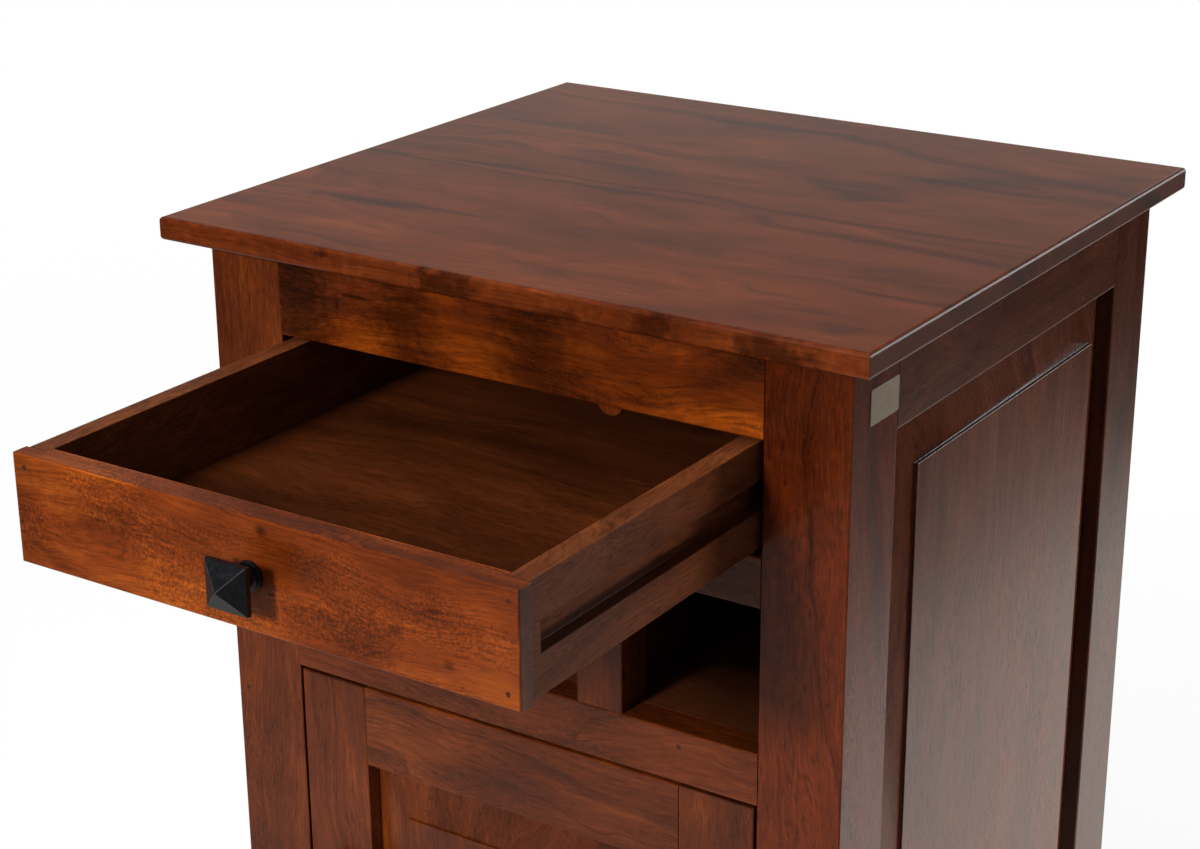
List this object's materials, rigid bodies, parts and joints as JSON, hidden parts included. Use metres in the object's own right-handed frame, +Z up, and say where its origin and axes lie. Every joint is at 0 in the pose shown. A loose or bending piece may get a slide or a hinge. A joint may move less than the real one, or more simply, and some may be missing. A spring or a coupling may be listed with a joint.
{
  "type": "nightstand",
  "caption": "Square-legged solid-wood nightstand with an overhanging top, a pull-out drawer on wooden runners, open niches below it and a raised-panel door on butt hinges.",
  "frame": {"origin": "on the floor, midway between the four feet", "axes": "+X to the right seen from the front, +Y to the back, +Z up"},
  "size_m": [0.5, 0.693, 0.7],
  "materials": {
    "frame_wood": "satin lacquer, reddish brown",
    "top_wood": "satin lacquer, reddish brown",
    "panel_wood": "satin lacquer, reddish brown",
    "drawer_wood": "satin lacquer, reddish brown",
    "inner_wood": "thin lacquer, reddish brown",
    "black_metal": "satin black paint",
    "steel": "dull plated steel",
    "catch_plastic": "matt brown"
  },
  "bodies": {
    "carcass": {"top_board": "top_wood", "post_front_left": "frame_wood", "post_front_right": "frame_wood", "post_back_left": "frame_wood", "post_back_right": "frame_wood", "front_top_rail": "frame_wood", "front_mid_rail": "frame_wood", "front_low_rail": "frame_wood", "front_bottom_rail": "frame_wood", "side_top_rail_left": "frame_wood", "side_top_rail_right": "frame_wood", "side_bottom_rail_left": "frame_wood", "side_bottom_rail_right": "frame_wood", "side_panel_left": "panel_wood", "side_panel_right": "panel_wood", "back_top_rail": "frame_wood", "back_bottom_rail": "frame_wood", "back_panel": "inner_wood", "rear_mid_bearer": "inner_wood", "rear_low_bearer": "inner_wood", "drawer_deck": "inner_wood", "niche_floor": "inner_wood", "cabinet_floor": "inner_wood", "niche_stile_left": "frame_wood", "niche_stile_right": "frame_wood", "niche_partition_left": "inner_wood", "niche_partition_right": "inner_wood", "drawer_runner_left": "inner_wood", "drawer_runner_right": "inner_wood", "runner_screws": "steel", "top_cleat_left": "inner_wood", "top_cleat_right": "inner_wood", "cleat_screws": "steel", "stop_screw": "steel", "door_catch": "catch_plastic", "catch_screws": "steel", "lower_hinge_post_leaf": "steel", "upper_hinge_post_leaf": "steel", "lower_hinge_pin": "steel", "upper_hinge_pin": "steel", "hinge_post_screws": "steel"},
    "drawer": {"drawer_front": "drawer_wood", "drawer_side_left": "drawer_wood", "drawer_side_right": "drawer_wood", "drawer_back": "inner_wood", "drawer_bottom": "inner_wood", "drawer_knob": "black_metal", "drawer_knob_screw": "steel"},
    "door": {"door_stile_left": "frame_wood", "door_stile_right": "frame_wood", "door_top_rail": "frame_wood", "door_bottom_rail": "frame_wood", "door_panel": "panel_wood", "door_knob": "black_metal", "door_knob_screw": "steel", "catch_plate": "steel", "lower_hinge_door_leaf": "steel", "upper_hinge_door_leaf": "steel", "hinge_door_screws": "steel"},
    "stop": {"stop_button": "inner_wood"}
  },
  "joints": [
    {"name": "drawer_slide", "type": "slide", "parent": "carcass", "child": "drawer", "axis": [0, -1, 0], "range_m": [-0.232, 0.089]},
    {"name": "door_hinge", "type": "hinge", "parent": "carcass", "child": "door", "pos_m": [0.173, -0.2175, 0.244], "axis": [0, 0, 1], "range_deg": [0, 160]},
    {"name": "stop_turn", "type": "hinge", "parent": "carcass", "child": "stop", "pos_m": [0.054, -0.18, 0.648], "axis": [0, 1, 0], "range_deg": [0, 90]}
  ]
}
